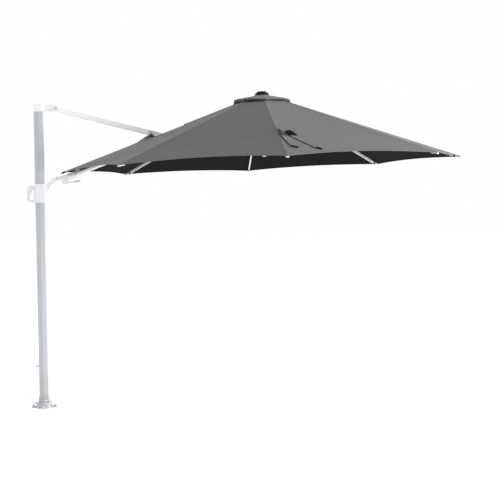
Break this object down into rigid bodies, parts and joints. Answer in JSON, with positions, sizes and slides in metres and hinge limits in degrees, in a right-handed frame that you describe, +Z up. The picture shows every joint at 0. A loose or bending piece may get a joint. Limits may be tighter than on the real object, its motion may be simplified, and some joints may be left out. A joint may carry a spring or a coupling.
{
  "type": "cantilever parasol",
  "caption": "Cantilever parasol: side mast on a swivel foot, sliding carriage, hinged strut and boom, and an eight-sided folding cloth canopy.",
  "frame": {"origin": "middle of the base flange's underside, on the mast's axis, where the flange is bolted down", "axes": "+Z up the mast, +X from the mast towards the canopy, +Y to the canopy's back side seen from the front"},
  "size_m": [3.814, 3.501, 2.7043],
  "materials": {
    "white_metal": "satin white powder coat",
    "silver_metal": "satin pale powder coat",
    "grey_plastic": "matte black moulded",
    "white_plastic": "matte white moulded",
    "pale_grey_plastic": "matte mid grey moulded",
    "steel": "plain zinc plated",
    "cloth": "woven anthracite canopy cloth"
  },
  "bodies": {
    "base": {"base_flange": "white_metal", "flange_nuts": "steel", "swivel_axle": "steel", "notch_ring": "steel"},
    "mast": {"swivel_socket": "white_metal", "mast_spigot": "silver_metal", "mast_collar": "white_metal", "mast_tube": "white_metal", "mast_head": "white_plastic", "strut_top_pin": "steel", "pedal_pin": "steel"},
    "wing_screw": {"wing_screw": "steel"},
    "pedal": {"foot_pedal": "white_plastic"},
    "strut": {"strut_tube": "white_metal", "strut_top_end": "white_plastic", "strut_fork": "white_metal", "strut_fork_pin": "steel"},
    "boom_carrier": {"boom_collar": "silver_metal", "elbow_housing": "white_plastic", "lever_pin": "steel"},
    "tilt_lever": {"tilt_lock_lever": "pale_grey_plastic"},
    "carriage": {"carriage_sleeve": "white_plastic", "carriage_arm": "white_plastic", "elbow_pin": "steel", "carriage_handle": "white_plastic"},
    "trigger": {"release_trigger": "pale_grey_plastic"},
    "boom": {"boom_tube": "silver_metal", "boom_hub_end": "silver_metal", "canopy_tip_arm": "silver_metal", "boom_stretcher_saddle": "pale_grey_plastic", "canopy_left": "cloth"},
    "hub": {"canopy_hub": "grey_plastic", "hub_hinge_pins": "steel", "finial": "grey_plastic"},
    "boom_stretcher": {"boom_stretcher": "silver_metal"},
    "runner": {"runner_hub": "grey_plastic", "runner_hinge_pins": "steel", "runner_knob": "white_plastic"},
    "rib_right": {"rib_right": "silver_metal", "canopy_right": "cloth"},
    "stretcher_right": {"stretcher_right": "silver_metal"},
    "rib_back_right": {"rib_back_right": "silver_metal", "canopy_back_right": "cloth"},
    "stretcher_back_right": {"stretcher_back_right": "silver_metal"},
    "rib_back": {"rib_back": "silver_metal", "canopy_back": "cloth"},
    "stretcher_back": {"stretcher_back": "silver_metal"},
    "rib_back_left": {"rib_back_left": "silver_metal", "canopy_back_left": "cloth"},
    "stretcher_back_left": {"stretcher_back_left": "silver_metal"},
    "rib_front_left": {"rib_front_left": "silver_metal", "canopy_front_left": "cloth"},
    "stretcher_front_left": {"stretcher_front_left": "silver_metal"},
    "rib_front": {"rib_front": "silver_metal", "canopy_front": "cloth", "tie_strap": "cloth"},
    "stretcher_front": {"stretcher_front": "silver_metal"},
    "rib_front_right": {"rib_front_right": "silver_metal", "canopy_front_right": "cloth"},
    "stretcher_front_right": {"stretcher_front_right": "silver_metal"}
  },
  "joints": [
    {"name": "mast_swivel", "type": "hinge", "parent": "base", "child": "mast", "pos_m": [0, 0, 0], "axis": [0, 0, 1], "continuous": true},
    {"name": "wing_screw_turn", "type": "hinge", "parent": "mast", "child": "wing_screw", "pos_m": [-0.05, 0, 0.36], "axis": [1, 0, 0], "continuous": true},
    {"name": "pedal_press", "type": "hinge", "parent": "mast", "child": "pedal", "pos_m": [-0.04, 0, 0.038], "axis": [0, 1, 0], "range_deg": [-12, 0], "stiffness_Nm_per_rad": 2, "springref_deg": 20.05},
    {"name": "boom_lift", "type": "hinge", "parent": "mast", "child": "strut", "pos_m": [0.15, 0, 2.572], "axis": [0, 1, 0], "range_deg": [0, 45]},
    {"name": "strut_on_boom", "type": "hinge", "parent": "strut", "child": "boom_carrier", "pos_m": [1.15, 0, 2.272], "axis": [0, 1, 0], "range_deg": [-90, 0]},
    {"name": "boom_on_carriage", "type": "hinge", "parent": "boom_carrier", "child": "carriage", "pos_m": [0.15, 0, 1.972], "axis": [0, 1, 0], "range_deg": [0, 45]},
    {"name": "side_tilt", "type": "hinge", "parent": "boom_carrier", "child": "boom", "pos_m": [0.29225, 0, 2.00033], "axis": [0.9337, 0, 0.3581], "range_deg": [-12, 12]},
    {"name": "tilt_lever_turn", "type": "hinge", "parent": "boom_carrier", "child": "tilt_lever", "pos_m": [0.205, 0, 1.926], "axis": [0, 1, 0], "range_deg": [0, 35]},
    {"name": "trigger_squeeze", "type": "hinge", "parent": "carriage", "child": "trigger", "pos_m": [-0.066, 0, 1.898], "axis": [0, 1, 0], "range_deg": [0, 5], "stiffness_Nm_per_rad": 0.3, "springref_deg": -17.19},
    {"name": "canopy_fold", "type": "hinge", "parent": "boom", "child": "hub", "pos_m": [1.86374, 0, 2.65021], "axis": [0, 1, 0], "range_deg": [0, 64], "deforming": ["canopy_right", "canopy_back_right", "canopy_back", "canopy_back_left", "canopy_front_left", "canopy_front", "canopy_front_right", "canopy_left"]},
    {"name": "rib_fold_right", "type": "hinge", "parent": "hub", "child": "rib_right", "pos_m": [1.98369, 0, 2.65357], "axis": [0, 1, 0], "range_deg": [0, 64]},
    {"name": "stretcher_fold_right", "type": "hinge", "parent": "rib_right", "child": "stretcher_right", "pos_m": [2.60945, 0, 2.43044], "axis": [0, 1, 0], "range_deg": [-128, 0]},
    {"name": "rib_fold_back_right", "type": "hinge", "parent": "hub", "child": "rib_back_right", "pos_m": [1.96613, 0.04243, 2.65308], "axis": [-0.7068, 0.7071, -0.0198], "range_deg": [0, 64]},
    {"name": "stretcher_fold_back_right", "type": "hinge", "parent": "rib_back_right", "child": "stretcher_back_right", "pos_m": [2.41058, 0.4803, 2.42486], "axis": [-0.7068, 0.7071, -0.0198], "range_deg": [-128, 0]},
    {"name": "rib_fold_back", "type": "hinge", "parent": "hub", "child": "rib_back", "pos_m": [1.92372, 0.06, 2.65189], "axis": [-0.9996, 0, -0.028], "range_deg": [0, 64]},
    {"name": "stretcher_fold_back", "type": "hinge", "parent": "rib_back", "child": "stretcher_back", "pos_m": [1.93046, 0.67925, 2.41139], "axis": [-0.9996, 0, -0.028], "range_deg": [-128, 0]},
    {"name": "rib_fold_back_left", "type": "hinge", "parent": "hub", "child": "rib_back_left", "pos_m": [1.88131, 0.04243, 2.6507], "axis": [-0.7068, -0.7071, -0.0198], "range_deg": [0, 64]},
    {"name": "stretcher_fold_back_left", "type": "hinge", "parent": "rib_back_left", "child": "stretcher_back_left", "pos_m": [1.45035, 0.4803, 2.39792], "axis": [-0.7068, -0.7071, -0.0198], "range_deg": [-128, 0]},
    {"name": "rib_fold_front_left", "type": "hinge", "parent": "hub", "child": "rib_front_left", "pos_m": [1.88131, -0.04243, 2.6507], "axis": [0.7068, -0.7071, 0.0198], "range_deg": [0, 64]},
    {"name": "stretcher_fold_front_left", "type": "hinge", "parent": "rib_front_left", "child": "stretcher_front_left", "pos_m": [1.45035, -0.4803, 2.39792], "axis": [0.7068, -0.7071, 0.0198], "range_deg": [-128, 0]},
    {"name": "rib_fold_front", "type": "hinge", "parent": "hub", "child": "rib_front", "pos_m": [1.92372, -0.06, 2.65189], "axis": [0.9996, 0, 0.028], "range_deg": [0, 64]},
    {"name": "stretcher_fold_front", "type": "hinge", "parent": "rib_front", "child": "stretcher_front", "pos_m": [1.93046, -0.67925, 2.41139], "axis": [0.9996, 0, 0.028], "range_deg": [-128, 0]},
    {"name": "rib_fold_front_right", "type": "hinge", "parent": "hub", "child": "rib_front_right", "pos_m": [1.96613, -0.04243, 2.65308], "axis": [0.7068, 0.7071, 0.0198], "range_deg": [0, 64]},
    {"name": "stretcher_fold_front_right", "type": "hinge", "parent": "rib_front_right", "child": "stretcher_front_right", "pos_m": [2.41058, -0.4803, 2.42486], "axis": [0.7068, 0.7071, 0.0198], "range_deg": [-128, 0]},
    {"name": "boom_stretcher_fold", "type": "hinge", "parent": "boom", "child": "boom_stretcher", "pos_m": [1.25148, 0, 2.39234], "axis": [0, -1, 0], "range_deg": [-128, 0]},
    {"name": "runner_on_stretcher", "type": "hinge", "parent": "boom_stretcher", "child": "runner", "pos_m": [1.87724, 0, 2.16921], "axis": [0, -1, 0], "range_deg": [0, 64]}
  ],
  "couplings": [
    {"joint": "strut_on_boom", "follows": "boom_lift", "ratio": -2},
    {"joint": "boom_on_carriage", "follows": "boom_lift", "ratio": 1},
    {"joint": "rib_fold_right", "follows": "canopy_fold", "ratio": 1},
    {"joint": "stretcher_fold_right", "follows": "canopy_fold", "ratio": -2},
    {"joint": "rib_fold_back_right", "follows": "canopy_fold", "ratio": 1},
    {"joint": "stretcher_fold_back_right", "follows": "canopy_fold", "ratio": -2},
    {"joint": "rib_fold_back", "follows": "canopy_fold", "ratio": 1},
    {"joint": "stretcher_fold_back", "follows": "canopy_fold", "ratio": -2},
    {"joint": "rib_fold_back_left", "follows": "canopy_fold", "ratio": 1},
    {"joint": "stretcher_fold_back_left", "follows": "canopy_fold", "ratio": -2},
    {"joint": "rib_fold_front_left", "follows": "canopy_fold", "ratio": 1},
    {"joint": "stretcher_fold_front_left", "follows": "canopy_fold", "ratio": -2},
    {"joint": "rib_fold_front", "follows": "canopy_fold", "ratio": 1},
    {"joint": "stretcher_fold_front", "follows": "canopy_fold", "ratio": -2},
    {"joint": "rib_fold_front_right", "follows": "canopy_fold", "ratio": 1},
    {"joint": "stretcher_fold_front_right", "follows": "canopy_fold", "ratio": -2},
    {"joint": "boom_stretcher_fold", "follows": "canopy_fold", "ratio": -2},
    {"joint": "runner_on_stretcher", "follows": "canopy_fold", "ratio": 1}
  ]
}
